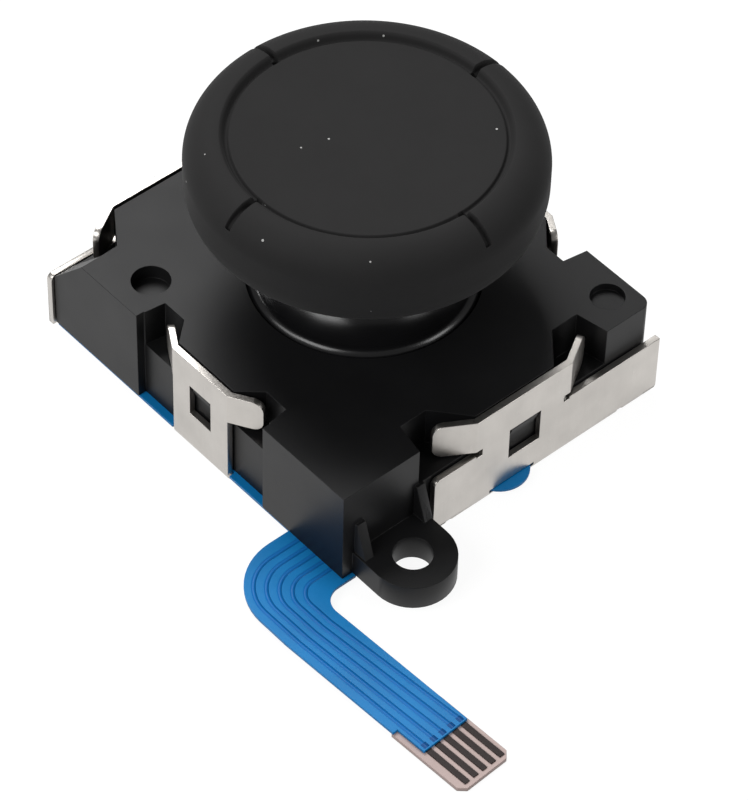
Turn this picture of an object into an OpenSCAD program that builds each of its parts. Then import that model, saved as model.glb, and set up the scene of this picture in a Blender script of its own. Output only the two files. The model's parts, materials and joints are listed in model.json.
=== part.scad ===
// Analog stick module for a hand controller: a tilting, pressing thumb stick
// with two rockers, two slide contacts and a press switch, in a clipped steel frame.
// The origin is on the stick's axis, on the underside of the steel base.

/* [Thumb cap] */
// Outer radius of the cap
cap_r = 7.57; // [7.3:0.01:7.9]
// Radius of the cap's rounded upper edge
upper_edge_r = 1.45; // [1.3:0.05:1.5]
// Radius of the cap's rounded lower edge
lower_edge_r = 1.75; // [1.5:0.05:2]
// Height of the straight side between the rounded edges
cap_side_h = 0.92; // [0.8:0.02:1]
// Air between the housing's top and the cap's underside
cap_gap = 3.97; // [3.8:0.01:4.2]
// Radius of the fine ring groove in the cap's top
groove_r = 5.78; // [5.5:0.01:5.9]
// Width of the ring groove and of the four grip slots
groove_w = 0.3; // [0.2:0.02:0.4]
// Depth of the ring groove
groove_depth = 0.15; // [0.1:0.01:0.2]
// Reach of the grip slots from the axis
slot_reach = 7.0; // [6.6:0.1:7]
// Depth of the grip slots below the rounded edge
slot_depth = 0.25; // [0.15:0.05:0.35]
// Drop of the thumb face inside the ring groove
face_drop = 0.16; // [0.1:0.02:0.2]
// Hollow of the thumb face at its middle
dish_depth = 0.08; // [0.04:0.02:0.16]
// Thickness of the rubber over the cap's core
cap_skin = 1.4; // [1.2:0.1:1.5]
// Radius of the hard core inside the cap
core_r = 4.4; // [4:0.1:4.6]
// Thickness of the core's disc
core_t = 1.5; // [1.2:0.1:1.6]

/* [Dust skirt and stem] */
// Radius of the skirt's ball zone, which seals the round opening
ball_r = 5.6; // [5.5:0.01:5.66]
// Air between the ball zone and its seat in the housing
ball_gap = 0.12; // [0.1:0.01:0.2]
// Wall of the skirt
skirt_wall = 0.45; // [0.4:0.05:0.5]
// Angle of the skirt's lower edge above the pivot
skirt_low = 11; // [10:1:12]
// Radius of the skirt's neck
neck_r = 2.5; // [2.4:0.1:2.6]
// Radius of the skirt's trumpet curve
flare_r = 2.5; // [2.4:0.05:2.6]
// Height of the skirt's rim over the housing's top
rim_rise = 0.15; // [0.1:0.05:0.25]
// Radius of the square-shouldered spigot in the cap's core
spigot_r = 1.6; // [1.5:0.1:1.8]
// Radius of the stem
stem_r = 0.9; // [0.85:0.05:0.95]
// Depth of the stem in the skirt's hub
stem_grip = 2.2; // [1.8:0.1:2.4]
// Radius of the stem's spring flange
flange_r = 1.35; // [1.3:0.05:1.4]
// Rise of the spring flange above the pivot
flange_rise = 1.5; // [1.4:0.05:1.55]
// Thickness of the spring flange
flange_t = 0.22; // [0.18:0.02:0.26]
// Drop of the stem's foot below the pivot
foot_drop = 1.5; // [1.46:0.01:1.51]

/* [Housing] */
// Reach of the housing from the axis to the left
house_left = 9.0; // [8.8:0.1:9.4]
// Reach of the housing to the right
house_right = 8.0; // [7.9:0.1:8.4]
// Reach of the housing to the front
house_front = 9.15; // [9:0.05:9.5]
// Reach of the housing to the back
house_back = 9.7; // [9.6:0.1:10]
// Height of the housing
house_h = 4.9; // [4.85:0.05:5.1]
// Wall of the housing
house_wall = 0.9; // [0.8:0.05:1]
// Thickness of the housing's top
house_roof = 0.8; // [0.7:0.05:0.85]
// Radius of the round well under the top
well_r = 6.2; // [6.1:0.05:6.25]
// Height of the ledges that the spring wings hang over
ledge_h = 2.95; // [2.9:0.05:3]
// Depth of the front and back wing notches
notch_long = 1.55; // [1.5:0.05:1.6]
// Depth of the right wing notch
notch_right = 1.18; // [1.1:0.02:1.3]
// Depth of the left wing notches
notch_left = 1.4; // [1.3:0.05:1.5]
// Setback of the left wall between its corner blocks
left_setback = 0.4; // [0.35:0.05:0.45]
// Radius of the blind locating recess
recess_r = 0.85; // [0.8:0.05:0.9]
// Radius of the screw hole in the ear
ear_hole_r = 0.85; // [0.7:0.05:0.9]
// Wall of the ear round its hole
ear_wall = 1.01; // [0.95:0.02:1.1]
// Thickness of the ear
ear_t = 1.25; // [1.1:0.05:1.4]
// Distance of the ear's hole from the front face
ear_reach = 1.6; // [1.5:0.05:1.8]

/* [Steel frame] */
// Thickness of the steel sheet
sheet_t = 0.3; // [0.25:0.05:0.3]
// Height of the low band of the long walls
band_h = 3.25; // [3.1:0.05:3.3]
// Length of the long spring wings
wing_long = 1.9; // [1.7:0.05:2]
// Length of the short spring wings
wing_short = 1.6; // [1.4:0.05:1.65]
// Turn of the spring wings out of their wall
wing_turn = 31; // [27:1:33]
// Drop of the steel's upper edge below the housing's top
tab_drop = 0.05; // [0.05:0.05:0.15]
// Width of the front and back windows
window_w = 1.75; // [1.6:0.05:1.9]
// Height of the windows
window_h = 1.7; // [1.6:0.05:1.8]
// Reach of the plate to the left at its cut front corner
cut_x = 5.2; // [5:0.1:5.4]
// Reach of the plate to the front at its cut corner
cut_y = 5.6; // [5.4:0.1:5.8]
// Outer radius of the bend at the foot of the walls
bend_r = 0.4; // [0.35:0.05:0.45]

/* [Flexible circuit] */
// Thickness of the flexible circuit
flex_t = 0.15; // [0.12:0.01:0.18]
// Width of the tail
tail_w = 2.67; // [2.5:0.05:2.8]
// Distance of the tail's inner edge from the axis
tail_x = 10.28; // [10.2:0.02:10.6]
// Distance of the tail's contact end from the axis
tail_end = 20.3; // [19.5:0.1:21.5]
// Lean of the tail's straight part towards the axis
tail_lean = 3; // [2:1:4]
// Length of the tail's narrower end
step_len = 3.9; // [3.6:0.1:4.2]
// Step of the film's edge at the narrower end
step_in = 0.25; // [0.2:0.05:0.45]
// Length of the bare contact end
bare_len = 2.4; // [2.2:0.1:2.8]
// Length of the stiffener under the contact end
stiff_len = 4; // [3.8:0.1:4.4]
// Thickness of the stiffener
stiff_t = 0.2; // [0.1:0.05:0.2]
// Number of contact fingers
fingers = 5; // [4:1:6]

/* [Rockers and slides] */
// Height of the pivot above the circuit
pivot_rise = 2.2; // [2.15:0.05:2.25]
// Radius of the rocker pins
pin_r = 0.6; // [0.5:0.05:0.6]
// Radial air of every pin and shaft in its bore
run_gap = 0.05; // [0.03:0.01:0.06]
// Thickness of a bearing rib
rib_t = 0.6; // [0.5:0.05:0.65]
// Distance of the bearing ribs from the axis
rib_r = 6.3; // [6.28:0.02:6.36]
// Inner radius of the upper rocker's arch
arch_r = 2.85; // [2.8:0.05:2.9]
// Thickness of the arch
arch_t = 0.6; // [0.5:0.05:0.65]
// Half width of the arch
arch_w = 1.8; // [1.7:0.05:1.85]
// Half width of the rocker arms
arm_w = 0.75; // [0.65:0.05:0.8]
// Thickness of the rocker arms
arm_t = 0.7; // [0.6:0.05:0.75]
// Radius of the collar that carries the stem
collar_r = 1.5; // [1.45:0.01:1.52]
// Half height of the collar
collar_h = 0.7; // [0.65:0.05:0.75]
// Drop of the rocker's driving finger below the pivot
finger_drop = 1.65; // [1.6:0.01:1.7]
// Radius of the driving finger's tip
finger_r = 0.3; // [0.25:0.05:0.3]
// Length of a slide
slide_len = 3.8; // [3.4:0.1:4]
// Radius of the switch dome
dome_r = 1.9; // [1.7:0.1:2]
// Rise of the switch dome
dome_h = 0.22; // [0.18:0.01:0.25]
// Radius of the spring wire
wire_r = 0.08; // [0.06:0.01:0.09]

/* [Hidden] */
$fn = 96;
e = 0.01;

seat_z = sheet_t + flex_t;
top_z = seat_z + house_h;
roof_z = top_z - house_roof;
pivot_z = seat_z + pivot_rise;
ledge_z = seat_z + ledge_h;
seat_r = ball_r + ball_gap;

cap_z0 = top_z + cap_gap;
lower_edge_z = cap_z0 + lower_edge_r;
upper_edge_z = lower_edge_z + cap_side_h;
cap_top_z = upper_edge_z + upper_edge_r;
core_top_z = cap_top_z - cap_skin;
core_z0 = core_top_z - core_t;
hub_z = pivot_z + arch_r + arch_t + 0.95;
neck_top_z = cap_z0 + 0.4;
flare_z = top_z + rim_rise + flare_r;
skirt_low_z = pivot_z + ball_r * sin(skirt_low);

foot_z = pivot_z - foot_drop;
flange_z = pivot_z + flange_rise;
yoke_y = collar_r + run_gap + 0.75;
stem_top_z = hub_z + stem_grip;

rib_low = 1.2;
bay_w = 1.5;
post_r = rib_r - 0.1 - 0.35;
post_t = 0.35;
arm_z = seat_z + 0.3;
pin_end = rib_r + rib_t + 0.05;
finger_t = 0.55;
finger_x = pin_end + 0.1;
slide_z = seat_z + 0.17;
slide_h = 0.66;
slide_x0 = rib_r + 0.05;
slide_x1 = finger_x + finger_t + 0.35;
lower_roof_z = seat_z + 2.25;

front_clip_x = 0.35;
block_x = 8.25 - front_clip_x + 0.1;
front_y = -house_front - 0.05 - sheet_t;
back_y = house_back + 0.05 + sheet_t;
left_x = -house_left + left_setback - 0.07 - sheet_t;
right_x = house_right + 0.03 + sheet_t;
tab_top = top_z - tab_drop;
front_tab = [-2.42, 2.81];
back_tab = [-6.1, 2.81];
left_tab_w = 3.54;
right_tab_w = 5.3;
window_z = ledge_z - 1.55;
window_side_z = ledge_z - 1.2;
lug_reach = 0.3;

tail_y = -house_front - 1.1;

ear_x = -6.6;
ear_y = -house_front - ear_reach;
ear_r = ear_hole_r + ear_wall;

// Places one side's features: y = 0 on the side's face, +y into the housing
module on_front(x, y) { translate([x, y, 0]) children(); }
module on_back(x, y) { translate([x, y, 0]) mirror([0, 1, 0]) children(); }
module on_left(x) { translate([x, 0, 0]) rotate(-90) mirror([1, 0, 0]) children(); }
module on_right(x) { translate([x, 0, 0]) rotate(90) children(); }

// The cap's rounded form, drawn in by a given amount
module cap_form(inset) {
    rotate_extrude() {
        translate([cap_r - lower_edge_r, lower_edge_z]) circle(lower_edge_r - inset);
        translate([cap_r - upper_edge_r, upper_edge_z]) circle(upper_edge_r - inset);
        polygon([[0, cap_z0 + inset], [cap_r - lower_edge_r, cap_z0 + inset],
                 [cap_r - inset, lower_edge_z], [cap_r - inset, upper_edge_z],
                 [cap_r - upper_edge_r, cap_top_z - inset], [0, cap_top_z - inset]]);
    }
}

module thumb_cap() {
    inner_r = groove_r - groove_w / 2;
    face_z = cap_top_z - face_drop;
    dish_r = (inner_r * inner_r + dish_depth * dish_depth) / (2 * dish_depth);
    color("#2b2b2d") difference() {
        cap_form(0);
        translate([0, 0, cap_z0 - 1]) cylinder(r = core_r + 0.02, h = core_top_z - cap_z0 + 1);
        translate([0, 0, face_z]) cylinder(r = inner_r + groove_w, h = 1);
        rotate_extrude() translate([inner_r, face_z - groove_depth]) square([groove_w, 1]);
        translate([0, 0, face_z + dish_r - dish_depth]) sphere(dish_r, $fn = 180);
        for (a = [0:90:270]) rotate(a) difference() {
            translate([groove_r, -groove_w / 2, upper_edge_z])
                cube([slot_reach - groove_r, groove_w, upper_edge_r + 1]);
            cap_form(slot_depth);
        }
    }
}

module cap_core() {
    color("#1d1d1f") difference() {
        union() {
            translate([0, 0, core_z0]) cylinder(r = core_r, h = core_t);
            translate([0, 0, neck_top_z + 0.02])
                cylinder(r = neck_r + 0.4, h = core_z0 - neck_top_z);
        }
        translate([0, 0, neck_top_z - 1]) cylinder(r = spigot_r + 0.02, h = core_top_z - neck_top_z + 0.6);
    }
}

// Section of the skirt's trumpet and ball zone, for the outside and the inside
module skirt_section(ball, flare, top) {
    difference() {
        translate([0, pivot_z]) circle(ball);
        translate([neck_r + flare_r, flare_z]) circle(flare);
        translate([-ball - 1, pivot_z - ball - 1]) square([ball + 1, 2 * ball + 2]);
        translate([0, top]) square(2 * ball);
        translate([neck_r + flare_r, flare_z - flare_r]) square(2 * ball);
    }
}

module dust_skirt() {
    color("#0e0e10") difference() {
        rotate_extrude() {
            difference() {
                skirt_section(ball_r, flare_r, flare_z);
                translate([-1, pivot_z - ball_r - 1]) square([ball_r + 2, skirt_low_z - pivot_z + ball_r + 1]);
            }
            translate([0, hub_z]) square([neck_r, neck_top_z - hub_z]);
            translate([0, neck_top_z - 0.5]) square([spigot_r, core_top_z - neck_top_z]);
        }
        rotate_extrude() skirt_section(ball_r - skirt_wall, flare_r + skirt_wall, hub_z);
        translate([0, 0, hub_z - 1]) cylinder(r = stem_r + 0.02, h = stem_grip + 1.1);
    }
}

module stick_stem() {
    color("#c9c6c0") union() {
        translate([0, 0, foot_z + stem_r]) sphere(stem_r);
        translate([0, 0, foot_z + stem_r]) cylinder(r = stem_r, h = stem_top_z - foot_z - stem_r);
        translate([0, 0, flange_z]) cylinder(r = flange_r, h = flange_t);
    }
}

// Coil of round wire, each turn a ring joined to the next by a short riser
module return_spring() {
    coil_z0 = pivot_z + collar_h + wire_r;
    coil_r = stem_r + 2.2 * wire_r;
    turns = 3;
    pitch = (flange_z - pivot_z - collar_h - 2 * wire_r) / (turns - 1);
    color("#b9b9b4") union() {
        for (i = [0:turns - 1]) translate([0, 0, coil_z0 + i * pitch])
            rotate_extrude() translate([coil_r, 0]) circle(wire_r, $fn = 24);
        for (i = [0:turns - 2]) rotate(i * 180) translate([coil_r, 0, coil_z0 + i * pitch])
            cylinder(r = wire_r, h = pitch, $fn = 24);
    }
}

module pivot_collar() {
    pin = pin_r - 0.15;
    color("#d8d4c8") difference() {
        union() {
            translate([0, 0, pivot_z - collar_h]) cylinder(r = collar_r, h = 2 * collar_h);
            translate([0, yoke_y - 0.1, pivot_z]) rotate([90, 0, 0]) cylinder(r = pin, h = 2 * (yoke_y - 0.1));
        }
        translate([0, 0, pivot_z - collar_h - 1]) cylinder(r = stem_r + run_gap, h = 2 * collar_h + 2);
    }
}

// Arm along +x under the skirt, its post and its pin; from_x is where it leaves the rocker
module rocker_arm(from_x) {
    translate([from_x, -arm_w, arm_z]) cube([post_r + post_t - from_x, 2 * arm_w, arm_t]);
    translate([post_r, -arm_w, arm_z]) cube([post_t, 2 * arm_w, pivot_z - arm_z]);
    translate([post_r, 0, pivot_z]) rotate([0, 90, 0]) cylinder(r = arm_w, h = post_t);
    translate([post_r, 0, pivot_z]) rotate([0, 90, 0]) cylinder(r = pin_r, h = pin_end - post_r);
}

// Lever on the end of a pin that drives a slide
module drive_finger() {
    neck = finger_r * 0.6;
    translate([pin_end - e, 0, pivot_z]) rotate([0, 90, 0]) cylinder(r = pin_r, h = finger_x + finger_t - pin_end + e);
    translate([finger_x, -neck, pivot_z - finger_drop]) cube([finger_t, 2 * neck, finger_drop]);
    translate([finger_x, 0, pivot_z - finger_drop]) rotate([0, 90, 0]) cylinder(r = finger_r, h = finger_t);
}

module lower_rocker() {
    half_x = 2.4;
    half_y = yoke_y;
    color("#dedad0") difference() {
        union() {
            translate([-half_x, -half_y, pivot_z - pin_r]) cube([2 * half_x, 2 * half_y, 2 * pin_r]);
            for (s = [0, 180]) rotate(s) {
                translate([arch_w, -arm_w, arm_z]) cube([half_x - arch_w, 2 * arm_w, pivot_z - arm_z]);
                rocker_arm(arch_w);
            }
            rotate(180) drive_finger();
        }
        translate([-arch_w, -collar_r - run_gap, pivot_z - 1]) cube([2 * arch_w, 2 * (collar_r + run_gap), 2]);
        translate([0, half_y + 1, pivot_z]) rotate([90, 0, 0])
            cylinder(r = pin_r - 0.15 + run_gap, h = 2 * half_y + 2);
    }
}

module upper_rocker() {
    outer_r = arch_r + arch_t;
    slot_half = outer_r * sin(16) + stem_r + 0.2;
    color("#e6e2d8") difference() {
        union() {
            difference() {
                translate([-arch_w, 0, pivot_z]) rotate([0, 90, 0]) cylinder(r = outer_r, h = 2 * arch_w);
                translate([-arch_w - 1, -outer_r - 1, pivot_z - outer_r - 1])
                    cube([2 * arch_w + 2, 2 * outer_r + 2, outer_r + 1]);
            }
            for (s = [90, 270]) rotate(s) {
                translate([arch_r, -arm_w, arm_z]) cube([arch_t, 2 * arm_w, pivot_z - arm_z]);
                rocker_arm(arch_r);
            }
            rotate(90) drive_finger();
        }
        translate([-arch_w - 1, 0, pivot_z]) rotate([0, 90, 0]) cylinder(r = arch_r, h = 2 * arch_w + 2);
        translate([-stem_r - 0.1, -slot_half, pivot_z]) cube([2 * (stem_r + 0.1), 2 * slot_half, outer_r + 1]);
    }
}

// Slide that a finger drives, with its slot; drawn on the +x side
module slide() {
    slot = finger_r + run_gap;
    difference() {
        translate([slide_x0, -slide_len / 2, slide_z]) cube([slide_x1 - slide_x0, slide_len, slide_h]);
        translate([finger_x - 0.05, -slot, slide_z - 1]) cube([finger_t + 0.1, 2 * slot, slide_h + 2]);
        for (s = [-1, 1]) translate([finger_x + finger_t / 2, s * slide_len * 0.34, slide_z + slide_h - 0.2])
            cylinder(r = 0.25, h = 1);
    }
}

// Sprung contact under a slide, with two rounded feet on the tracks; drawn on the +x side
module wiper() {
    translate([slide_x0 + 0.03, -0.8, slide_z - 0.06]) cube([0.62, 1.6, 0.06]);
    for (x = [0.13, 0.43]) translate([slide_x0 + x, 0, slide_z - 0.05]) intersection() {
        sphere(r = 0.1, $fn = 32);
        translate([-1, -1, -1]) cube([2, 2, 1]);
    }
}

module slide_y() { color("#26262a") rotate(180) slide(); }
module slide_x() { color("#26262a") rotate(90) slide(); }
module wiper_y() { color("#c8a24a") rotate(180) wiper(); }
module wiper_x() { color("#c8a24a") rotate(90) wiper(); }

module resistive_tracks() {
    color("#1a1a1a") for (a = [90, 180]) rotate(a) for (x = [0.13, 0.43])
        translate([slide_x0 + x - 0.1, -2.4, seat_z]) cube([0.2, 4.8, 0.015]);
}

// Cap of a sphere with a flat foot at height z
module dome_form(r, h, z) {
    ball = (r * r + h * h) / (2 * h);
    intersection() {
        translate([0, 0, z + h - ball]) sphere(ball, $fn = 180);
        translate([0, 0, z]) cylinder(r = r, h = h + 1);
    }
}

module switch_dome() {
    color("#c4c2bc") difference() {
        dome_form(dome_r, dome_h, seat_z);
        dome_form(dome_r - 0.25, dome_h - 0.05, seat_z - e);
    }
}

module dome_tape() {
    color("#e8dcae") difference() {
        union() {
            dome_form(dome_r + 0.25, dome_h + 0.05, seat_z);
            translate([-dome_r - 0.6, -dome_r - 0.6, seat_z]) cube([2 * dome_r + 1.2, 2 * dome_r + 1.2, 0.04]);
        }
        dome_form(dome_r + 0.04, dome_h + 0.015, seat_z - e);
    }
}

// Notch for a spring wing: a is the plate's edge, b and c the ends of the notch's floor, d the block
module wing_notch(a, b, c, d, setback, depth) {
    translate([0, 0, ledge_z]) linear_extrude(house_h)
        polygon([[a, -1], [a, setback], [b, depth], [c, depth], [d, 0], [d, -1]]);
}

// Wedge that snaps behind the upper edge of a window
module snap_lug(width, z_top, setback) {
    translate([-width / 2, setback + e, 0]) rotate([90, 0, 90]) linear_extrude(width)
        polygon([[0, z_top], [-lug_reach, z_top], [-lug_reach, z_top - 0.15], [0, z_top - 0.85]]);
}

module bearing_rib() {
    difference() {
        translate([rib_r, -bay_w - e, pivot_z - rib_low]) cube([rib_t, 2 * bay_w + 2 * e, roof_z - pivot_z + rib_low + e]);
        translate([rib_r - 1, 0, pivot_z]) rotate([0, 90, 0]) cylinder(r = pin_r + run_gap, h = rib_t + 2);
        translate([rib_r - 1, -pin_r * 0.85, pivot_z - rib_low - 1])
            cube([rib_t + 2, 2 * pin_r * 0.85, rib_low + 1]);
    }
}

module ear() {
    difference() {
        union() {
            translate([ear_x, ear_y, seat_z]) cylinder(r = ear_r, h = ear_t);
            translate([ear_x - ear_r, ear_y, seat_z]) cube([2 * ear_r, ear_reach + e, ear_t]);
            for (x = [ear_x - ear_r + 0.1, ear_x + ear_r - 0.42])
                translate([x, -house_front + e, seat_z]) rotate([90, 0, 90]) mirror([1, 0, 0]) linear_extrude(0.45)
                    polygon([[0, 0], [0, ledge_h], [0.15, ledge_h], [0.7, ear_t], [0.7, 0]]);
        }
        translate([ear_x, ear_y, seat_z - 1]) cylinder(r = ear_hole_r, h = ear_t + 2);
    }
}

module housing_cavity() {
    translate([-house_left + house_wall, -house_front + house_wall, seat_z - 1])
        cube([house_left + house_right - 2 * house_wall, house_front + house_back - 2 * house_wall,
              lower_roof_z - seat_z + 1]);
    translate([0, 0, seat_z]) cylinder(r = well_r, h = roof_z - seat_z);
    for (reach = [[90, house_back], [180, house_left], [270, house_front], [0, house_right]])
        rotate(reach[0]) translate([0, -bay_w, seat_z])
            cube([reach[1] - house_wall, 2 * bay_w, roof_z - seat_z]);
    translate([0, 0, pivot_z]) sphere(seat_r);
}

module housing() {
    width = house_left + house_right;
    depth = house_front + house_back;
    color("#1c1c1e") difference() {
        union() {
            difference() {
                translate([-house_left, -house_front, seat_z]) cube([width, depth, house_h]);
                housing_cavity();
                on_front(front_clip_x - 0.1, -house_front) for (m = [0, 1]) mirror([m, 0, 0])
                    wing_notch(2.18, 3.5, 4.9, 5.19, 0, notch_long);
                on_back(front_clip_x - 0.1, house_back) {
                    wing_notch(2.18, 3.5, 4.9, 5.19, 0.15, notch_long);
                    mirror([1, 0, 0]) wing_notch(6.05, 7.3, 8.2, 8.25, 0.15, notch_long + 0.35);
                    translate([-8.25, -1, 0]) cube([13.44, 1.15, 2 * top_z]);
                }
                on_left(-house_left) {
                    for (m = [0, 1]) mirror([m, 0, 0]) wing_notch(1.78, 2.65, 3.9, 4.08, left_setback, notch_left);
                    translate([-4.08, -1, 0]) cube([8.16, 1 + left_setback, 2 * top_z]);
                }
                on_right(house_right) for (m = [0, 1]) mirror([m, 0, 0])
                    wing_notch(2.59, 3.93, 4.95, 5.14, 0, notch_right);
                translate([-house_left - 1, house_back, ledge_z - 0.15]) rotate([90, 0, 90])
                    linear_extrude(house_left + 1 - block_x + e)
                        polygon([[0, 0], [1, 0], [1, house_h], [-1.94, house_h], [-1.94, top_z - ledge_z + 0.15]]);
                translate([house_right - 0.5, -house_front + 0.5, 0]) difference() {
                    translate([0, -1, 0]) cube([1, 1, 2 * top_z]);
                    translate([0, 0, -1]) cylinder(r = 0.5, h = 2 * top_z + 2);
                }
                translate([-7.23, 5.29, top_z - 0.7]) cylinder(r = recess_r, h = 1);
                translate([6.83, -7.68, top_z - 0.35]) cylinder(r = recess_r - 0.1, h = 1);
            }
            for (a = [0:90:270]) rotate(a) bearing_rib();
            ear();
            on_front(front_clip_x + 0.3, -house_front) snap_lug(window_w - 0.3, window_z + window_h - 0.08, 0);
            on_back(0, house_back) for (x = [front_clip_x + 0.3, -3.2]) translate([x, 0, 0])
                snap_lug(window_w - 0.3, window_z + window_h - 0.08, 0.15);
            on_left(-house_left) snap_lug(window_w - 0.65, window_side_z + window_h - 0.08, left_setback);
            on_right(house_right) snap_lug(window_w - 0.65, window_side_z + window_h - 0.08, 0);
        }
    }
}

// Spring wing with a rounded tip, turned out of the wall at y = 0
module wing(len, z0) {
    tip = 0.5;
    high = tab_top - z0;
    rotate(wing_turn) translate([0, sheet_t, z0]) rotate([90, 0, 0]) linear_extrude(sheet_t) {
        square([len - tip, high]);
        translate([0, tip]) square([len, high - 2 * tip]);
        for (y = [tip, high - tip]) translate([len - tip, y]) circle(tip, $fn = 48);
    }
}

// Stamped tab from x0 to x1 with windows and its two wings
module clip_tab(x0, x1, windows, window_width, window_low, wing_len, wing_z0) {
    difference() {
        union() {
            translate([x0, 0, 0]) cube([x1 - x0, sheet_t, tab_top]);
            translate([x1, 0, 0]) wing(wing_len, wing_z0);
            translate([x0, 0, 0]) mirror([1, 0, 0]) wing(wing_len, wing_z0);
        }
        for (x = windows) translate([x - window_width / 2, -1, window_low])
            cube([window_width, 2, window_h]);
    }
}

// Long low wall with a tab, and the wings' relief slots
module long_wall(x0, x1, tab, windows) {
    corner_r = 0.3;
    difference() {
        union() {
            translate([x0, 0, 0]) cube([x1 - x0, sheet_t, band_h]);
            clip_tab(tab[0], tab[1], windows, window_w, window_z, wing_long, ledge_z + 0.1);
        }
        for (x = windows) translate([x - window_w / 2, -1, window_z]) cube([window_w, 2, window_h]);
        for (x = [tab[0], tab[1] - 0.35]) translate([x, -1, band_h - 0.12])
            cube([0.35, 2, ledge_z + 0.1 - band_h + 0.12]);
        translate([x0, -1, band_h - corner_r]) difference() {
            translate([-1, 0, 0]) cube([1 + corner_r, 2, 1]);
            translate([corner_r, -1, 0]) rotate([-90, 0, 0]) cylinder(r = corner_r, h = 4);
        }
        translate([x0 - e, -e, -e]) cube([0.7, 1, 0.35]);
        translate([x1 - 0.7, -e, -e]) cube([0.7 + e, sheet_t + e, 0.35]);
    }
}

// What a bend of the sheet leaves off along a wall's foot, from x0 to x1
module foot_bend(x0, x1) {
    translate([x0 - 1, -1, -1]) difference() {
        cube([x1 - x0 + 2, 1 + bend_r, 1 + bend_r]);
        translate([-1, 1 + bend_r, 1 + bend_r]) rotate([0, 90, 0]) cylinder(r = bend_r, h = x1 - x0 + 4);
    }
}

module steel_frame() {
    plate_left = house_left - 0.25;
    color("#b3afa9") difference() {
        union() {
            difference() {
                translate([-plate_left, front_y, 0]) cube([plate_left + right_x, back_y - front_y, sheet_t]);
                translate([-plate_left - 1, front_y - 1, -1])
                    cube([plate_left - cut_x + 1, -cut_y - front_y + 1, 2]);
                for (s = [-1, 1]) translate([-plate_left - e, s > 0 ? 4.4 : -5.2, -1]) cube([0.22, 0.8, 2]);
            }
            translate([left_x, -left_tab_w / 2, 0]) cube([1, left_tab_w, sheet_t]);
            on_front(front_clip_x, front_y) long_wall(-4.7, right_x - front_clip_x, front_tab, [0.3]);
            on_back(front_clip_x, back_y) long_wall(-9.5, right_x - front_clip_x, back_tab, [0.3, -3.55]);
            on_left(left_x) clip_tab(-left_tab_w / 2, left_tab_w / 2, [0], window_w - 0.38, window_side_z,
                wing_short, ledge_z + 0.3);
            on_right(right_x) clip_tab(-right_tab_w / 2, right_tab_w / 2, [0], window_w - 0.38, window_side_z,
                wing_short - 0.3, ledge_z + 0.3);
        }
        on_front(0, front_y) foot_bend(-house_left - 1, right_x);
        on_back(0, back_y) foot_bend(-house_left - 1, right_x);
        on_left(left_x) foot_bend(-left_tab_w / 2 + 1, left_tab_w / 2 - 1);
        on_right(right_x) foot_bend(front_y, back_y);
        translate([-1.2, front_y - 1, sheet_t]) cube([2.5, 1 + sheet_t, flex_t + 0.05]);
        on_front(0, front_y) for (x = [-3.6, 6.1]) translate([x, -1, -1]) cube([0.35, 1 + sheet_t, 1.35]);
    }
}

// Outline of the circuit's body between the plate and the housing
module flex_body() {
    difference() {
        translate([-house_left + 0.05, -house_front + 0.05])
            square([house_left + house_right - 0.1, house_front + house_back - 0.1]);
        translate([-house_left - 1, -left_tab_w / 2 - 0.1])
            square([1 + left_setback - 0.03, left_tab_w + 0.2]);
    }
    intersection() {
        translate([0.05, -house_front + 0.5]) circle(1.35);
        translate([-1.15, -house_front - 1.2]) square([2.4, 3]);
    }
}

// Leans the tail's straight part about the end of its turn
module tail_part() {
    translate([-tail_x - tail_w / 2, tail_y]) rotate(tail_lean) translate([tail_x + tail_w / 2, -tail_y]) children();
}

// Outline of the tail: out to the left, a quarter turn, then forward
module flex_tail(y_end) {
    turn_r = tail_w + 0.23;
    outer_x = -tail_x - tail_w;
    turn_y = -house_front + 0.5;
    inner_y = -house_front - 0.2;
    inner_r = 0.9;
    step_y = -tail_end + step_len;
    difference() {
        union() {
            intersection() {
                translate([outer_x + turn_r, turn_y]) circle(turn_r);
                translate([outer_x, turn_y]) square(turn_r + 1);
            }
            translate([outer_x + turn_r - e, inner_y])
                square([-house_left + 0.6 - outer_x - turn_r, turn_y - inner_y + turn_r]);
            translate([outer_x, inner_y - inner_r]) square([turn_r + inner_r, turn_y - inner_y + inner_r + e]);
        }
        translate([-tail_x + inner_r, inner_y - inner_r]) circle(inner_r, $fn = 48);
        translate([-tail_x + inner_r, inner_y - inner_r - 2]) square([4, 2 + inner_r]);
        translate([-tail_x, inner_y - inner_r - 2]) square([4, 2]);
    }
    tail_part() {
        translate([outer_x, step_y]) square([tail_w, tail_y - step_y + 0.12]);
        translate([outer_x + step_in, y_end]) square([tail_w - step_in, step_y - y_end + e]);
    }
}

module flex_circuit() {
    color("#2b7fbf") translate([0, 0, sheet_t]) linear_extrude(flex_t) {
        flex_body();
        flex_tail(-tail_end + bare_len);
    }
}

module tail_stiffener() {
    width = tail_w + 0.1;
    x0 = -tail_x - tail_w;
    chamfer = 0.3;
    color("#bea9a5") translate([0, 0, sheet_t - stiff_t]) linear_extrude(stiff_t)
        tail_part() polygon([[x0, -tail_end + chamfer], [x0 + chamfer, -tail_end], [x0 + width - chamfer, -tail_end],
                 [x0 + width, -tail_end + chamfer], [x0 + width, -tail_end + stiff_len],
                 [x0, -tail_end + stiff_len]]);
}

module contact_fingers() {
    pitch = (tail_w - step_in) / fingers;
    color("#3c3230") tail_part() for (i = [0:fingers - 1])
        translate([-tail_x - tail_w + step_in + (i + 0.22) * pitch, -tail_end + 0.2, sheet_t])
            cube([pitch * 0.56, bare_len - 0.2, 0.05]);
}

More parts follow.
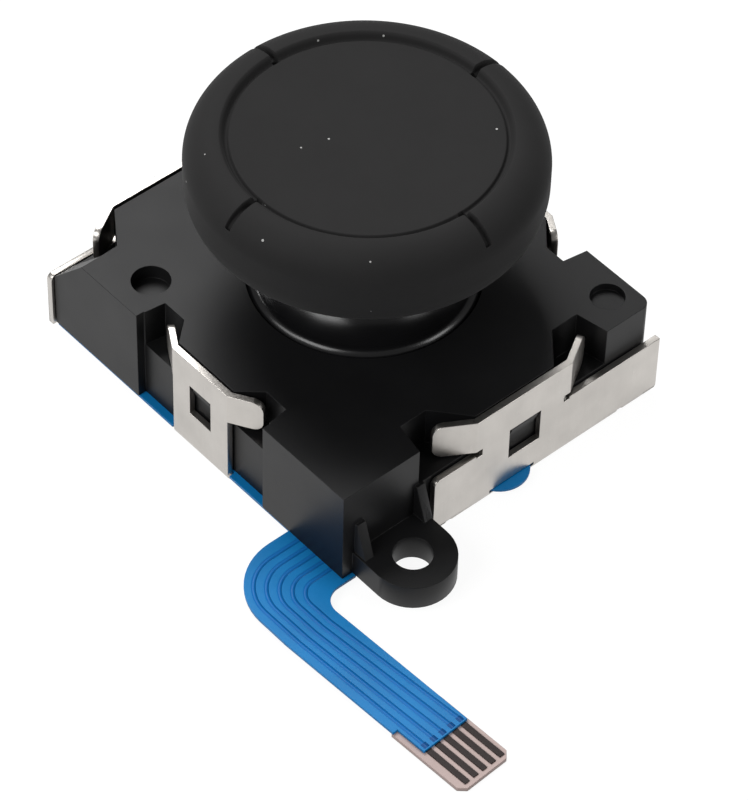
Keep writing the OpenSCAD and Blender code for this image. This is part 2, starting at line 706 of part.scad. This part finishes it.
thumb_cap();
cap_core();
dust_skirt();
stick_stem();
return_spring();
pivot_collar();
lower_rocker();
upper_rocker();
slide_y();
slide_x();
wiper_y();
wiper_x();
housing();
steel_frame();
flex_circuit();
tail_stiffener();
contact_fingers();
resistive_tracks();
switch_dome();
dome_tape();
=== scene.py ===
"""Analog stick module for a hand controller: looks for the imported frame, in metres."""

import json
import math

import bmesh
import bpy
import numpy as np
from mathutils import Matrix, Vector
from mathutils.bvhtree import BVHTree

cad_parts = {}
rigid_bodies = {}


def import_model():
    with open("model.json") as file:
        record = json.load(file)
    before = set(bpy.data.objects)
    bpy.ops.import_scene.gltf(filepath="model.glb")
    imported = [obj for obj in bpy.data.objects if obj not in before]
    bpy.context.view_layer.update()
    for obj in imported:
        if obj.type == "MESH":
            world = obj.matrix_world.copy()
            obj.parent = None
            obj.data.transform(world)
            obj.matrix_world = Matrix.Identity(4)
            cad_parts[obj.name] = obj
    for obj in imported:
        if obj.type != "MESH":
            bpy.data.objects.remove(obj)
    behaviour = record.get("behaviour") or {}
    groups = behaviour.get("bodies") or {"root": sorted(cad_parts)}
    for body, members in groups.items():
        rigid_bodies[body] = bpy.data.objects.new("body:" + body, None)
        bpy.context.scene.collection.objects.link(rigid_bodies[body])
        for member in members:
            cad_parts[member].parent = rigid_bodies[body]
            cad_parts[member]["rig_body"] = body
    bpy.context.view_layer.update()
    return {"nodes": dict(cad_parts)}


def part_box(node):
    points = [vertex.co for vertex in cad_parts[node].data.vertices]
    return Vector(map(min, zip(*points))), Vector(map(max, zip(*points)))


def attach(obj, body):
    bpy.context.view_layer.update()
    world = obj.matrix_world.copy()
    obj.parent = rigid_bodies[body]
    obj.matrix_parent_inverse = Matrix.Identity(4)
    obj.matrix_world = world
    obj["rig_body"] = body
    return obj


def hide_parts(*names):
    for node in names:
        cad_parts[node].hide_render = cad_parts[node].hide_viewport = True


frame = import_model()
nodes = frame["nodes"]
mm = 0.001

# Camera
# It looks down on the front corner with a long lens, as the photograph does.
# The angles and the distance belong to the stick's axis at the foot of the housing.
azimuth = math.radians(-42.204)
elevation = math.radians(47.662)
roll = math.radians(1.662)
focal_px = 4275.9
picture_height_px = 800
eye_back = 183.325 * mm
eye_right = 0.5065 * mm
eye_up = -2.1412 * mm
housing_foot = 0.45 * mm

back = Vector((math.sin(azimuth) * math.cos(elevation),
               -math.cos(azimuth) * math.cos(elevation),
               math.sin(elevation)))
level_right = Vector((math.cos(azimuth), math.sin(azimuth), 0))
level_up = back.cross(level_right)
right = math.cos(roll) * level_right + math.sin(roll) * level_up
up = math.cos(roll) * level_up - math.sin(roll) * level_right
eye = back * eye_back + right * eye_right + up * eye_up + Vector((0, 0, housing_foot))

camera = bpy.data.objects.new("camera", bpy.data.cameras.new("camera"))
bpy.context.scene.collection.objects.link(camera)
camera.matrix_world = Matrix.Translation(eye) @ Matrix((right, up, back)).transposed().to_4x4()
camera.data.sensor_width = 36
camera.data.lens = focal_px * camera.data.sensor_width / picture_height_px
camera.data.clip_start = 0.01
bpy.context.scene.camera = camera
bpy.context.scene.view_settings.view_transform = "Standard"


def new_material(name):
    """An empty node material and a function that adds a node to it."""
    material = bpy.data.materials.new(name)
    material.use_nodes = True
    tree = material.node_tree
    tree.nodes.clear()

    def add(kind, **settings):
        made = tree.nodes.new("ShaderNode" + kind)
        for key, value in settings.items():
            if hasattr(made, key):
                setattr(made, key, value)
            else:
                made.inputs[key.replace("_", " ")].default_value = value
        return made

    return material, add, tree.links.new


# Floor and light
# A white sweep under plain soft boxes: one high on the left, one on the right, one behind, and
# two weak low ones whose light lies on the glossy skirt. Camera and mirror rays see the sweep
# white, and its shadows stay.
floor_half = 0.6
floor_glow = 0.92
shadow_share = 0.16
room_dim = 0.26
room_white = 1.0
bpy.ops.mesh.primitive_plane_add(size=2 * floor_half)
floor = bpy.context.object
floor.name = "floor"
material, add, link = new_material("white_sweep")
path = add("LightPath")
seen = add("Math", operation="MAXIMUM")
diffuse = add("BsdfDiffuse", Color=(shadow_share, shadow_share, shadow_share, 1))
glow = add("Emission", Color=(1, 1, 1, 1))
strength = add("Math", operation="MULTIPLY")
strength.inputs[1].default_value = floor_glow
both = add("AddShader")
output = add("OutputMaterial")
link(path.outputs["Is Camera Ray"], seen.inputs[0])
link(path.outputs["Is Glossy Ray"], seen.inputs[1])
link(seen.outputs[0], strength.inputs[0])
link(strength.outputs[0], glow.inputs["Strength"])
link(diffuse.outputs[0], both.inputs[0])
link(glow.outputs[0], both.inputs[1])
link(both.outputs[0], output.inputs["Surface"])
floor.data.materials.append(material)

world = bpy.data.worlds.new("studio")
bpy.context.scene.world = world
world.use_nodes = True
room = world.node_tree
room.nodes.clear()
room_path = room.nodes.new("ShaderNodeLightPath")
room_seen = room.nodes.new("ShaderNodeMath")
room_seen.operation = "MAXIMUM"
room_level = room.nodes.new("ShaderNodeMapRange")
room_level.inputs["To Min"].default_value = room_dim
room_level.inputs["To Max"].default_value = room_white
room_light = room.nodes.new("ShaderNodeBackground")
room_out = room.nodes.new("ShaderNodeOutputWorld")
room.links.new(room_path.outputs["Is Camera Ray"], room_seen.inputs[0])
room.links.new(room_path.outputs["Is Transmission Ray"], room_seen.inputs[1])
room.links.new(room_seen.outputs[0], room_level.inputs["Value"])
room.links.new(room_level.outputs[0], room_light.inputs["Strength"])
room.links.new(room_light.outputs[0], room_out.inputs["Surface"])


def soft_box(name, place, width, power):
    """A square area lamp that faces the object."""
    lamp = bpy.data.lights.new(name, "AREA")
    lamp.size = width
    lamp.energy = power
    holder = bpy.data.objects.new(name, lamp)
    bpy.context.scene.collection.objects.link(holder)
    holder.location = place
    holder.rotation_euler = Vector(place).to_track_quat("Z", "Y").to_euler()


soft_box("box_left", (-0.38, -0.02, 0.34), 0.26, 1.0)
soft_box("box_right", (0.22, -0.38, 0.30), 0.22, 0.15)
soft_box("box_behind", (0.10, 0.32, 0.43), 0.28, 1.9)
soft_box("low_left", (-0.42, 0.18, 0.26), 0.2, 0.4)
soft_box("low_right", (0.22, -0.40, 0.22), 0.2, 0.4)


def evaluated_mesh(piece):
    """The piece's mesh with its modifiers applied."""
    bpy.context.view_layer.update()
    return bpy.data.meshes.new_from_object(piece.evaluated_get(bpy.context.evaluated_depsgraph_get()))


def finished(piece, finish):
    """Gives the piece one material in place of what it has."""
    piece.data.materials.clear()
    piece.data.materials.append(finish)


# Housing
# One black moulding with a fine spark-eroded skin. Its edges are barely broken,
# so a thin light line runs along them.
weld_gap = 0.002 * mm
stray_share = 0.8


def dressed_copy(node, edge, segments=2, turn=28, trim=None):
    """A CAD node's shape as one joined mesh with its sharp edges broken by edge.

    Corners that the bevel throws off the surface go back to it.
    """
    source = nodes[node]
    body = source["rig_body"]
    shape = bmesh.new()
    shape.from_mesh(source.data)
    bmesh.ops.remove_doubles(shape, verts=shape.verts, dist=weld_gap)
    if trim:
        trim(shape)
    skin = BVHTree.FromBMesh(shape)
    bmesh.ops.dissolve_limit(shape, angle_limit=math.radians(1), verts=shape.verts, edges=shape.edges)
    for face in shape.faces:
        face.smooth = True
    mesh = bpy.data.meshes.new(node + "_dressed")
    shape.to_mesh(mesh)
    shape.free()
    piece = bpy.data.objects.new(node + "_dressed", mesh)
    bpy.context.scene.collection.objects.link(piece)
    if edge:
        bevel = piece.modifiers.new("edge", "BEVEL")
        bevel.width = edge
        bevel.segments = segments
        bevel.limit_method = "ANGLE"
        bevel.angle_limit = math.radians(turn)
        bevel.use_clamp_overlap = False
        bevel.harden_normals = False
        piece.data = evaluated_mesh(piece)
        piece.modifiers.clear()
        for vertex in piece.data.vertices:
            nearest, _, _, distance = skin.find_nearest(vertex.co)
            if distance > stray_share * edge:
                vertex.co = nearest
    piece.data.set_sharp_from_angle(angle=math.radians(turn + 10))
    even = piece.modifiers.new("even", "WEIGHTED_NORMAL")
    even.keep_sharp = True
    even.weight = 100
    piece.data = evaluated_mesh(piece)
    piece.modifiers.clear()
    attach(piece, body)
    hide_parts(node)
    return piece


def moulded(name, colour, rough, grain, grain_depth, specular=0.5):
    """Plastic or rubber with a cloudy shade and a fine grain, in object coordinates."""
    material, add, link = new_material(name)
    place = add("TexCoord")
    cloud = add("TexNoise", Scale=420.0, Detail=4.0, Roughness=0.6)
    shade = add("MapRange", To_Min=0.82, To_Max=1.2)
    tint = add("VectorMath", operation="SCALE")
    tint.inputs[0].default_value = colour
    skin = add("TexNoise", Scale=grain, Detail=3.0, Roughness=0.55)
    gloss = add("MapRange", To_Min=rough - 0.06, To_Max=rough + 0.06)
    bump = add("Bump", Strength=1.0, Distance=grain_depth)
    surface = add("BsdfPrincipled", Specular_IOR_Level=specular)
    output = add("OutputMaterial")
    link(place.outputs["Object"], cloud.inputs["Vector"])
    link(place.outputs["Object"], skin.inputs["Vector"])
    link(cloud.outputs["Fac"], shade.inputs["Value"])
    link(shade.outputs[0], tint.inputs["Scale"])
    link(tint.outputs[0], surface.inputs["Base Color"])
    link(cloud.outputs["Fac"], gloss.inputs["Value"])
    link(gloss.outputs[0], surface.inputs["Roughness"])
    link(skin.outputs["Fac"], bump.inputs["Height"])
    link(bump.outputs[0], surface.inputs["Normal"])
    link(surface.outputs[0], output.inputs["Surface"])
    return material


slope_foot_y, slope_foot_z = 9.7, 3.25
slope_run, slope_rise = 1.94, 2.1
fin_x, fin_y = (-8.02, -7.93), 7.7
housing_edge = 0.02 * mm


def level_fin(shape):
    """Brings the thin fin beside the left-back slope down onto the slope."""
    for vertex in shape.verts:
        x, y, z = vertex.co / mm
        slope_z = slope_foot_z + (slope_foot_y - y) * slope_rise / slope_run
        if fin_x[0] < x < fin_x[1] and fin_y < y and z > slope_z:
            vertex.co.z = slope_z * mm
    bmesh.ops.remove_doubles(shape, verts=shape.verts, dist=weld_gap)


satin_black = moulded("satin_black_moulding", (0.0078, 0.0078, 0.0083), 0.42, 9000, 0.0025 * mm,
                      specular=0.25)
finished(dressed_copy("housing", housing_edge, trim=level_fin), satin_black)


# Steel frame
# Stamped and bent nickel-plated sheet with its sheared edges showing.
# The rolling marks run along the strip and the plating has a warm tone.
steel_edge = 0.025 * mm


def sheet_metal(name, colour, rough, stretch):
    """Satin metal whose rolling marks follow the strip."""
    material, add, link = new_material(name)
    place = add("TexCoord")
    squeeze = add("Mapping", Scale=stretch)
    marks = add("TexNoise", Scale=9000.0, Detail=3.0)
    cloud = add("TexNoise", Scale=700.0, Detail=4.0)
    tone = add("MapRange", To_Min=0.84, To_Max=1.14)
    tint = add("VectorMath", operation="SCALE")
    tint.inputs[0].default_value = colour
    gloss = add("MapRange", To_Min=rough - 0.08, To_Max=rough + 0.12)
    bump = add("Bump", Strength=0.6, Distance=0.002 * mm)
    surface = add("BsdfPrincipled", Metallic=1.0)
    output = add("OutputMaterial")
    link(place.outputs["Object"], squeeze.inputs["Vector"])
    link(squeeze.outputs[0], marks.inputs["Vector"])
    link(place.outputs["Object"], cloud.inputs["Vector"])
    link(cloud.outputs["Fac"], tone.inputs["Value"])
    link(tone.outputs[0], tint.inputs["Scale"])
    link(tint.outputs[0], surface.inputs["Base Color"])
    link(marks.outputs["Fac"], gloss.inputs["Value"])
    link(gloss.outputs[0], surface.inputs["Roughness"])
    link(marks.outputs["Fac"], bump.inputs["Height"])
    link(bump.outputs[0], surface.inputs["Normal"])
    link(surface.outputs[0], output.inputs["Surface"])
    return material


plated_sheet = sheet_metal("plated_sheet", (0.52, 0.495, 0.465), 0.3, (1, 1, 0.12))
finished(dressed_copy("steel_frame", steel_edge), plated_sheet)


# Thumb cap
# Soft-touch rubber moulded over a hard core. Its top is a fine polar sheet that follows
# the rounded edge, with the ring groove and four grip slots pressed in with soft lips.
def revolved(name, profile, angles, lower=None):
    """A closed body of revolution; profile runs from the axis to the axis as (radius, height)."""
    ring = np.array(profile[1:-1])
    count = len(angles)
    r, z = ring[:, 0], ring[:, 1:2]
    points = np.stack([np.outer(r, np.cos(angles)), np.outer(r, np.sin(angles)), np.repeat(z, count, 1)], 2)
    if lower is not None:
        points = lower(points, ring, angles)
    points = np.concatenate([points.reshape(-1, 3), [[0, 0, profile[0][1]], [0, 0, profile[-1][1]]]])
    faces = []
    rows = len(ring)
    for i in range(rows - 1):
        for k in range(count):
            n = (k + 1) % count
            faces.append((i * count + k, (i + 1) * count + k, (i + 1) * count + n, i * count + n))
    for k in range(count):
        n = (k + 1) % count
        faces.append((rows * count, k, n))
        faces.append((rows * count + 1, (rows - 1) * count + n, (rows - 1) * count + k))
    mesh = bpy.data.meshes.new(name)
    mesh.from_pydata(points.tolist(), [], faces)
    mesh.polygons.foreach_set("use_smooth", [True] * len(mesh.polygons))
    piece = bpy.data.objects.new(name, mesh)
    bpy.context.scene.collection.objects.link(piece)
    return piece


cap_low, cap_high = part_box("thumb_cap")
cap_r = cap_high.x
cap_height = 4.12 * mm
cap_top = cap_low.z + cap_height
upper_r = 1.45 * mm
lower_r = 1.75 * mm
crown_r = cap_r - upper_r
core_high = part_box("cap_core")[1]
face_drop = 0.22 * mm
face_z = cap_top - face_drop
face_r = 5.8 * mm
dish = 0.08 * mm
groove_r = 5.8 * mm
groove_half = 0.16 * mm
groove_depth = 0.12 * mm
rise_end = 6.08 * mm
slot_reach = 7.42 * mm
slot_half = 0.14 * mm
slot_floor = face_z - 0.18 * mm
slot_depth = 0.32 * mm
flat_end = 5.5 * mm
ring_start, ring_stop = 5.53 * mm, 6.4 * mm
side_start = 6.43 * mm
core_play = 0.02 * mm
mouth_r = 0.15 * mm


def soft_step(value, start, end):
    """0 before start, 1 after end, smooth between."""
    t = np.clip((value - start) / (end - start), 0, 1)
    return t * t * (3 - 2 * t)


def crown(r):
    """Height of the rounded upper edge at radius r."""
    over = max(r - crown_r, 0)
    return cap_top - upper_r + math.sqrt(upper_r**2 - over**2)


cap_profile = []
for r in np.concatenate([np.linspace(0, flat_end, 26), np.linspace(ring_start, ring_stop, 40)]):
    face = face_z - dish * max(1 - (r / face_r) ** 2, 0)
    rise = soft_step(r, face_r, rise_end)
    groove = groove_depth * (1 - soft_step(abs(r - groove_r), 0.3 * groove_half, groove_half))
    cap_profile.append((r, face * (1 - rise) + crown(r) * rise - groove))
start = math.asin((side_start - crown_r) / upper_r)
for a in np.linspace(start, math.pi / 2, 34):
    cap_profile.append((crown_r + upper_r * math.sin(a), cap_top - upper_r + upper_r * math.cos(a)))
for a in np.linspace(math.pi / 2, math.pi, 30):
    cap_profile.append((cap_r - lower_r + lower_r * math.sin(a), cap_low.z + lower_r + lower_r * math.cos(a)))
recess_r = core_high.x + core_play
recess_z = core_high.z + core_play / 2
cap_profile.append((recess_r + 0.2 * mm, cap_low.z))
for a in np.linspace(0, math.pi / 2, 6):
    cap_profile.append((recess_r + mouth_r * (1 - math.sin(a)), cap_low.z + mouth_r * (1 - math.cos(a))))
cap_profile += [(recess_r, recess_z), (0, recess_z)]

slot_steps = np.arange(-3, 3, 0.15)
rim_steps = np.arange(3, 87, 1.5)
quarter = np.radians(np.concatenate([slot_steps, rim_steps]))
cap_angles = np.concatenate([quarter + k * math.pi / 2 for k in range(4)])


def press_slots(points, ring, angles):
    """Sinks the four grip slots into the rim, to below the thumb face, with soft lips."""
    r = ring[:, 0][:, None]
    aside = np.abs((angles[None, :] + math.pi / 4) % (math.pi / 2) - math.pi / 4)
    across = r * np.sin(aside)
    wide = 1 - soft_step(across, slot_half * 0.85, slot_half * 1.15)
    along = soft_step(r, groove_r - groove_half, groove_r)
    along = along * (1 - soft_step(r, slot_reach - 0.06 * mm, slot_reach))
    top = (ring[:, 1] > cap_top - upper_r)[:, None]
    sink = np.maximum(points[:, :, 2] - slot_floor, slot_depth) * wide * along * top
    points[:, :, 2] -= sink
    return points


cap = revolved("thumb_cap_rubber", cap_profile, cap_angles, press_slots)
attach(cap, "stick")
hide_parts("thumb_cap")

material, add, link = new_material("soft_touch_rubber")
place = add("TexCoord")
cloud = add("TexNoise", Scale=260.0, Detail=5.0, Roughness=0.62)
shade = add("MapRange", To_Min=0.86, To_Max=1.16)
tint = add("VectorMath", operation="SCALE")
tint.inputs[0].default_value = (0.0225, 0.0221, 0.0223)
specks = add("TexVoronoi", Scale=900.0)
tiny = add("Math", operation="LESS_THAN")
tiny.inputs[1].default_value = 0.05
pick = add("SeparateColor")
rare = add("Math", operation="GREATER_THAN")
rare.inputs[1].default_value = 0.6
dust = add("Math", operation="MULTIPLY")
dusty = add("Mix", data_type="RGBA")
skin = add("TexNoise", Scale=14000.0, Detail=2.0)
bump = add("Bump", Strength=1.0, Distance=0.003 * mm)
surface = add("BsdfPrincipled", Roughness=0.7, Specular_IOR_Level=0.1, Sheen_Weight=0.03, Sheen_Roughness=0.5)
output = add("OutputMaterial")
link(place.outputs["Object"], cloud.inputs["Vector"])
link(place.outputs["Object"], specks.inputs["Vector"])
link(place.outputs["Object"], skin.inputs["Vector"])
link(cloud.outputs["Fac"], shade.inputs["Value"])
link(shade.outputs[0], tint.inputs["Scale"])
link(specks.outputs["Distance"], tiny.inputs[0])
link(specks.outputs["Color"], pick.inputs[0])
link(pick.outputs[0], rare.inputs[0])
link(tiny.outputs[0], dust.inputs[0])
link(rare.outputs[0], dust.inputs[1])
link(dust.outputs[0], dusty.inputs["Factor"])
link(tint.outputs[0], dusty.inputs[6])
dusty.inputs[7].default_value = (0.45, 0.45, 0.44, 1)
link(dusty.outputs[2], surface.inputs["Base Color"])
link(skin.outputs["Fac"], bump.inputs["Height"])
link(bump.outputs[0], surface.inputs["Normal"])
link(surface.outputs[0], output.inputs["Surface"])
finished(cap, material)


# Cap core
# Hard plastic disc that carries the rubber and takes the skirt's spigot.
core_edge = 0.08 * mm
core_black = moulded("core_black", (0.012, 0.012, 0.013), 0.4, 8000, 0.002 * mm)
finished(dressed_copy("cap_core", core_edge), core_black)


# Dust skirt
# Polished black moulding: a ball zone that turns in the round opening, a rounded rim,
# and a trumpet that rises to the neck under the cap.
skirt_low, skirt_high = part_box("dust_skirt")
house_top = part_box("housing")[1].z
pivot_z = 2.65 * mm
ball_r = 5.6 * mm
wall = 0.45 * mm
neck_r = 3.1 * mm
flare_r = 1.9 * mm
rim_z = house_top + 0.15 * mm
flare_z = rim_z + flare_r
low_angle = math.radians(11)
neck_top = cap_low.z + 0.4 * mm
spigot_r = 1.6 * mm
hub_z = pivot_z + 4.4 * mm

neck_chamfer = 0.1 * mm
flare_start, flare_stop = 0.06, 0.86
inner_stop = math.radians(24)
meet_r = 4.55 * mm
zone_turn = 0.035
rim_angle = math.asin((rim_z + 0.02 * mm - pivot_z) / ball_r)


def on_ball(radius, angle):
    """Profile point on a ball round the pivot."""
    return radius * math.cos(angle), pivot_z + radius * math.sin(angle)


def on_flare(radius, turn):
    """Profile point on the flare's round, which starts upright at the neck."""
    return neck_r + flare_r - radius * math.cos(turn), flare_z - radius * math.sin(turn)


skirt_profile = [(0, skirt_high.z), (spigot_r, skirt_high.z), (spigot_r, neck_top), (neck_r - neck_chamfer, neck_top)]
skirt_profile += [(neck_r, neck_top - neck_chamfer), (neck_r, flare_z)]
skirt_profile += [on_flare(flare_r, a * math.pi / 2) for a in np.linspace(flare_start, flare_stop, 30)]
last = skirt_profile[-1]
lip = (ball_r * math.cos(rim_angle) - 0.01 * mm, rim_z + 0.03 * mm)
zone_top = on_ball(ball_r, rim_angle - zone_turn)
for t in np.linspace(0.12, 1, 9):
    bend = zip(last, lip, zone_top)
    skirt_profile.append(tuple((1 - t) ** 2 * p + 2 * t * (1 - t) * q + t * t * s for p, q, s in bend))
skirt_profile += [on_ball(ball_r, a) for a in np.linspace(rim_angle - 0.06, low_angle, 14)]
inner_r = ball_r - wall
low_inner = math.asin((skirt_low.z - pivot_z) / inner_r)
skirt_profile += [on_ball(inner_r, a) for a in np.linspace(low_inner, inner_stop, 10)]
under_r = flare_r + wall
meet = math.acos((neck_r + flare_r - meet_r) / under_r)
leave = math.asin((flare_z - hub_z) / under_r)
skirt_profile += [on_flare(under_r, turn) for turn in np.linspace(meet, leave, 16)]
skirt_profile.append((0, hub_z))
skirt = revolved("dust_skirt_polished", skirt_profile, np.radians(np.arange(0, 360, 2.5)))
skirt.data.set_sharp_from_angle(angle=math.radians(40))
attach(skirt, "stick")
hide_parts("dust_skirt")
finished(skirt, moulded("polished_black", (0.006, 0.006, 0.0065), 0.24, 5200, 0.0004 * mm, specular=0.6))


# Flexible circuit
# Blue cover film over copper on a thin base. The traces show as darker raised lines that
# follow the quarter turn of the tail, and the finger ends show darker through the film's edge.
film_edge = 0.012 * mm
cover_film = moulded("blue_cover_film", (0.006, 0.205, 0.53), 0.38, 3000, 0.002 * mm, specular=0.22)
finished(dressed_copy("flex_circuit", film_edge, segments=1), cover_film)

film_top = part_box("flex_circuit")[1].z
film_sink = 0.002 * mm
trace_count = 5
trace_half = 0.1 * mm
trace_rise = 0.008 * mm
exit_first = Vector((-8.9, -6.4, 0)) * mm
exit_step = -0.51 * mm
straight_first = -12.52 * mm
straight_step = 0.42 * mm
end_first = -12.46 * mm
end_step = 0.484 * mm
turn_end = Vector((-11.615, -10.25, 0)) * mm
lean = math.radians(3)
centre_first = Vector((-10.5, -8.45, 0)) * mm
centre_last = Vector((-10.0, -9.33, 0)) * mm
turn_points = 18
shadow_y = -17.58 * mm
film_end_y = -17.84 * mm
shadow_half = 0.13 * mm
turn_lead = 0.3 * mm


def leaned(x, y):
    """A place on the tail's straight part, turned with the tail."""
    aside, along = x - turn_end.x, y - turn_end.y
    return (turn_end.x + aside * math.cos(lean) - along * math.sin(lean),
            turn_end.y + aside * math.sin(lean) + along * math.cos(lean))


def flat_lines(name, routes):
    """Lines on top of the cover film as one curve object."""
    lines = bpy.data.curves.new(name, "CURVE")
    lines.dimensions = "3D"
    for route in routes:
        spline = lines.splines.new("POLY")
        spline.points.add(len(route) - 1)
        for point, (x, y) in zip(spline.points, route):
            point.co = (x, y, film_top + trace_rise / 2 - film_sink, 1)
    made = bpy.data.objects.new(name, lines)
    bpy.context.scene.collection.objects.link(made)
    return made


trace_routes = []
shadow_routes = []
for i in range(trace_count):
    share = i / (trace_count - 1)
    exit_y = exit_first.y + i * exit_step
    run_x = straight_first + i * straight_step
    centre = centre_first.lerp(centre_last, share)
    route = [(exit_first.x, exit_y)]
    for k in range(turn_points + 1):
        turn = math.pi / 2 * k / turn_points
        route.append((centre.x - (centre.x - run_x) * math.sin(turn),
                      centre.y + (exit_y - centre.y) * math.cos(turn)))
    end_x = end_first + i * end_step
    route += [leaned(run_x, turn_end.y - turn_lead), leaned(end_x, shadow_y)]
    trace_routes.append(route)
    shadow_routes.append([leaned(end_x, shadow_y), leaned(end_x, film_end_y)])

trace_blue = moulded("trace_under_film", (0.006, 0.155, 0.48), 0.38, 3000, 0.001 * mm, specular=0.22)
shadow_blue = moulded("finger_under_film", (0.004, 0.085, 0.30), 0.4, 3000, 0.001 * mm, specular=0.22)
ribbon = bpy.data.node_groups.new("trace_ribbon", "GeometryNodeTree")
ribbon.interface.new_socket("Geometry", in_out="INPUT", socket_type="NodeSocketGeometry")
ribbon.interface.new_socket("Width", in_out="INPUT", socket_type="NodeSocketFloat")
ribbon.interface.new_socket("Rise", in_out="INPUT", socket_type="NodeSocketFloat")
ribbon.interface.new_socket("Finish", in_out="INPUT", socket_type="NodeSocketMaterial")
ribbon.interface.new_socket("Geometry", in_out="OUTPUT", socket_type="NodeSocketGeometry")
group_in = ribbon.nodes.new("NodeGroupInput")
group_out = ribbon.nodes.new("NodeGroupOutput")
section = ribbon.nodes.new("GeometryNodeCurvePrimitiveQuadrilateral")
sweep = ribbon.nodes.new("GeometryNodeCurveToMesh")
sweep.inputs["Fill Caps"].default_value = True
realize = ribbon.nodes.new("GeometryNodeRealizeInstances")
paint = ribbon.nodes.new("GeometryNodeSetMaterial")
ribbon.links.new(group_in.outputs["Width"], section.inputs["Width"])
ribbon.links.new(group_in.outputs["Rise"], section.inputs["Height"])
ribbon.links.new(group_in.outputs["Finish"], paint.inputs["Material"])
ribbon.links.new(group_in.outputs["Geometry"], sweep.inputs["Curve"])
ribbon.links.new(section.outputs["Curve"], sweep.inputs["Profile Curve"])
ribbon.links.new(sweep.outputs["Mesh"], realize.inputs["Geometry"])
ribbon.links.new(realize.outputs["Geometry"], paint.inputs["Geometry"])
ribbon.links.new(paint.outputs["Geometry"], group_out.inputs["Geometry"])


def made_plain(piece, tree, values):
    """The piece's Geometry Nodes result as a plain mesh object of the same name."""
    modifier = piece.modifiers.new("nodes", "NODES")
    modifier.node_group = tree
    for socket in tree.interface.items_tree:
        if socket.in_out == "INPUT" and socket.name in values:
            modifier[socket.identifier] = values[socket.name]
    mesh = evaluated_mesh(piece)
    name = piece.name
    bpy.data.objects.remove(piece)
    plain = bpy.data.objects.new(name, mesh)
    bpy.context.scene.collection.objects.link(plain)
    return plain


for name, routes, half, finish in (("tail_traces", trace_routes, trace_half, trace_blue),
                                   ("finger_shadows", shadow_routes, shadow_half, shadow_blue)):
    drawn = made_plain(flat_lines(name, routes), ribbon, {"Width": 2 * half, "Rise": trace_rise, "Finish": finish})
    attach(drawn, "base")


# Contact end
# A grey-pink stiffener board under the bare end, with dark carbon-coated fingers on it.
board_edge = 0.02 * mm
finger_edge = 0.008 * mm
board_face = moulded("stiffener_board", (0.50, 0.385, 0.36), 0.5, 4200, 0.003 * mm)
carbon_coat = moulded("carbon_fingers", (0.022, 0.013, 0.012), 0.45, 5200, 0.002 * mm, specular=0.25)
finished(dressed_copy("tail_stiffener", board_edge, segments=1), board_face)
finished(dressed_copy("contact_fingers", finger_edge, segments=1), carbon_coat)


# Inner pieces
# The rockers, slides, spring, tracks and dome that the closed housing hides.
acetal = moulded("natural_acetal", (0.70, 0.67, 0.60), 0.42, 7000, 0.002 * mm)
slide_black = moulded("slide_black", (0.02, 0.02, 0.022), 0.4, 7000, 0.002 * mm)
carbon = moulded("printed_carbon", (0.02, 0.02, 0.02), 0.5, 9000, 0.002 * mm)
amber = moulded("amber_film", (0.75, 0.62, 0.30), 0.25, 4000, 0.001 * mm)
bright_steel = sheet_metal("bright_spring_steel", (0.62, 0.61, 0.58), 0.22, (1, 1, 1))
plated_brass = sheet_metal("plated_brass", (0.70, 0.52, 0.24), 0.26, (1, 0.2, 1))
inner_finish = {
    "stick_stem": acetal,
    "pivot_collar": acetal,
    "lower_rocker": acetal,
    "upper_rocker": acetal,
    "slide_y": slide_black,
    "slide_x": slide_black,
    "wiper_y": plated_brass,
    "wiper_x": plated_brass,
    "return_spring": bright_steel,
    "switch_dome": bright_steel,
    "dome_tape": amber,
    "resistive_tracks": carbon,
}
for name, finish in inner_finish.items():
    finished(nodes[name], finish)
